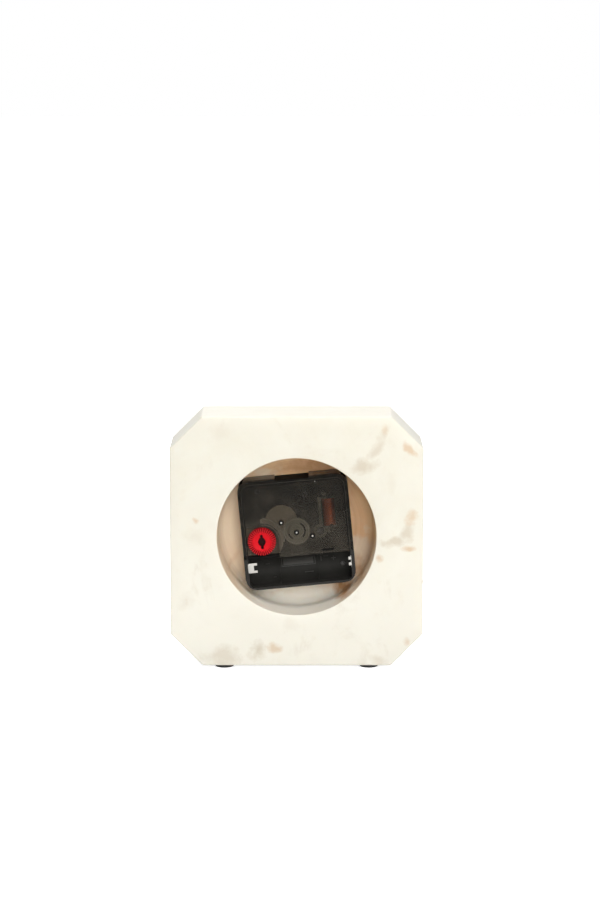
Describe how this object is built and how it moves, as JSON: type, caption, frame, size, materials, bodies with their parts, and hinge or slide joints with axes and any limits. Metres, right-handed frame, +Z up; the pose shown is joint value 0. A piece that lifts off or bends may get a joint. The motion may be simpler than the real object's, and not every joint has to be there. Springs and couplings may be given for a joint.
{
  "type": "marble clock",
  "caption": "Square marble desk clock with cut corners, a round recess in its back and a battery quartz movement fixed through its face; brass hands and bar markers.",
  "frame": {"origin": "bottom centre of the whole clock's box, on the surface that its feet stand on", "axes": "+Z up, the dial faces -Y and the recessed back faces +Y, +X to the right of someone who reads the dial"},
  "size_m": [0.127, 0.0472, 0.1285],
  "materials": {
    "marble": "polished cream marble with faint veins",
    "brass": "polished",
    "rubber": "matte black",
    "black_plastic": "moulded, fine texture",
    "smoked_plastic": "smoked and see-through",
    "red_plastic": "satin",
    "beige_nylon": "satin moulded nylon",
    "white_plastic": "satin",
    "steel": "nickel plated",
    "copper": "enamelled wire",
    "board": "laminate",
    "resin": "cast resin",
    "magnet": "sintered"
  },
  "bodies": {
    "root": {"marble_body": "marble", "movement_front_shell": "black_plastic", "movement_rear_cover": "smoked_plastic", "middle_plate": "black_plastic", "setting_bridge": "beige_nylon", "threaded_bush": "brass", "rubber_washer": "rubber", "brass_washer": "brass", "hex_nut": "brass", "stator": "steel", "coil_core": "steel", "coil_bobbin": "white_plastic", "coil_winding": "copper", "circuit_board": "board", "chip_blob": "resin", "quartz_crystal": "steel", "battery_contact_left": "steel", "battery_contact_right": "steel", "hour_marker_01": "brass", "hour_marker_02": "brass", "hour_marker_03": "brass", "hour_marker_04": "brass", "hour_marker_05": "brass", "hour_marker_06": "brass", "hour_marker_07": "brass", "hour_marker_08": "brass", "hour_marker_09": "brass", "hour_marker_10": "brass", "hour_marker_11": "brass", "hour_marker_12": "brass", "foot_front_left": "rubber", "foot_front_right": "rubber", "foot_rear_left": "rubber", "foot_rear_right": "rubber"},
    "seconds": {"seconds_wheel": "beige_nylon", "second_hand": "brass"},
    "minute": {"minute_arbor": "beige_nylon", "minute_hand": "brass"},
    "hour": {"hour_wheel": "beige_nylon", "hour_hand": "brass"},
    "minute_wheel": {"minute_wheel": "beige_nylon"},
    "knob": {"setting_knob": "red_plastic"},
    "rotor": {"rotor": "magnet"},
    "fifth": {"fifth_wheel": "beige_nylon"},
    "third": {"third_wheel": "beige_nylon"},
    "centre": {"centre_wheel": "beige_nylon"}
  },
  "joints": [
    {"name": "seconds_turn", "type": "hinge", "parent": "root", "child": "seconds", "pos_m": [0, -0.00445, 0.0675], "axis": [0, 1, 0], "continuous": true},
    {"name": "minute_turn", "type": "hinge", "parent": "root", "child": "minute", "pos_m": [0, -0.00445, 0.0675], "axis": [0, 1, 0], "continuous": true},
    {"name": "hour_turn", "type": "hinge", "parent": "root", "child": "hour", "pos_m": [0, -0.00445, 0.0675], "axis": [0, 1, 0], "continuous": true},
    {"name": "minute_wheel_turn", "type": "hinge", "parent": "root", "child": "minute_wheel", "pos_m": [0.00713, -0.00445, 0.06284], "axis": [0, 1, 0], "continuous": true},
    {"name": "knob_turn", "type": "hinge", "parent": "root", "child": "knob", "pos_m": [0.0176, -0.00445, 0.06241], "axis": [0, 1, 0], "continuous": true},
    {"name": "rotor_turn", "type": "hinge", "parent": "root", "child": "rotor", "pos_m": [-0.01208, -0.00445, 0.06794], "axis": [0, 1, 0], "continuous": true},
    {"name": "fifth_turn", "type": "hinge", "parent": "root", "child": "fifth", "pos_m": [-0.00805, -0.00445, 0.06581], "axis": [0, 1, 0], "continuous": true},
    {"name": "third_turn", "type": "hinge", "parent": "root", "child": "third", "pos_m": [0.00779, -0.00445, 0.07248], "axis": [0, 1, 0], "continuous": true},
    {"name": "centre_turn", "type": "hinge", "parent": "root", "child": "centre", "pos_m": [0, -0.00445, 0.0675], "axis": [0, 1, 0], "continuous": true}
  ],
  "couplings": [
    {"joint": "fifth_turn", "follows": "seconds_turn", "ratio": -6},
    {"joint": "rotor_turn", "follows": "seconds_turn", "ratio": 30},
    {"joint": "third_turn", "follows": "seconds_turn", "ratio": -0.13333},
    {"joint": "centre_turn", "follows": "seconds_turn", "ratio": 0.016667},
    {"joint": "minute_wheel_turn", "follows": "minute_turn", "ratio": -0.33333},
    {"joint": "hour_turn", "follows": "minute_turn", "ratio": 0.083333},
    {"joint": "knob_turn", "follows": "minute_turn", "ratio": 0.52174}
  ]
}
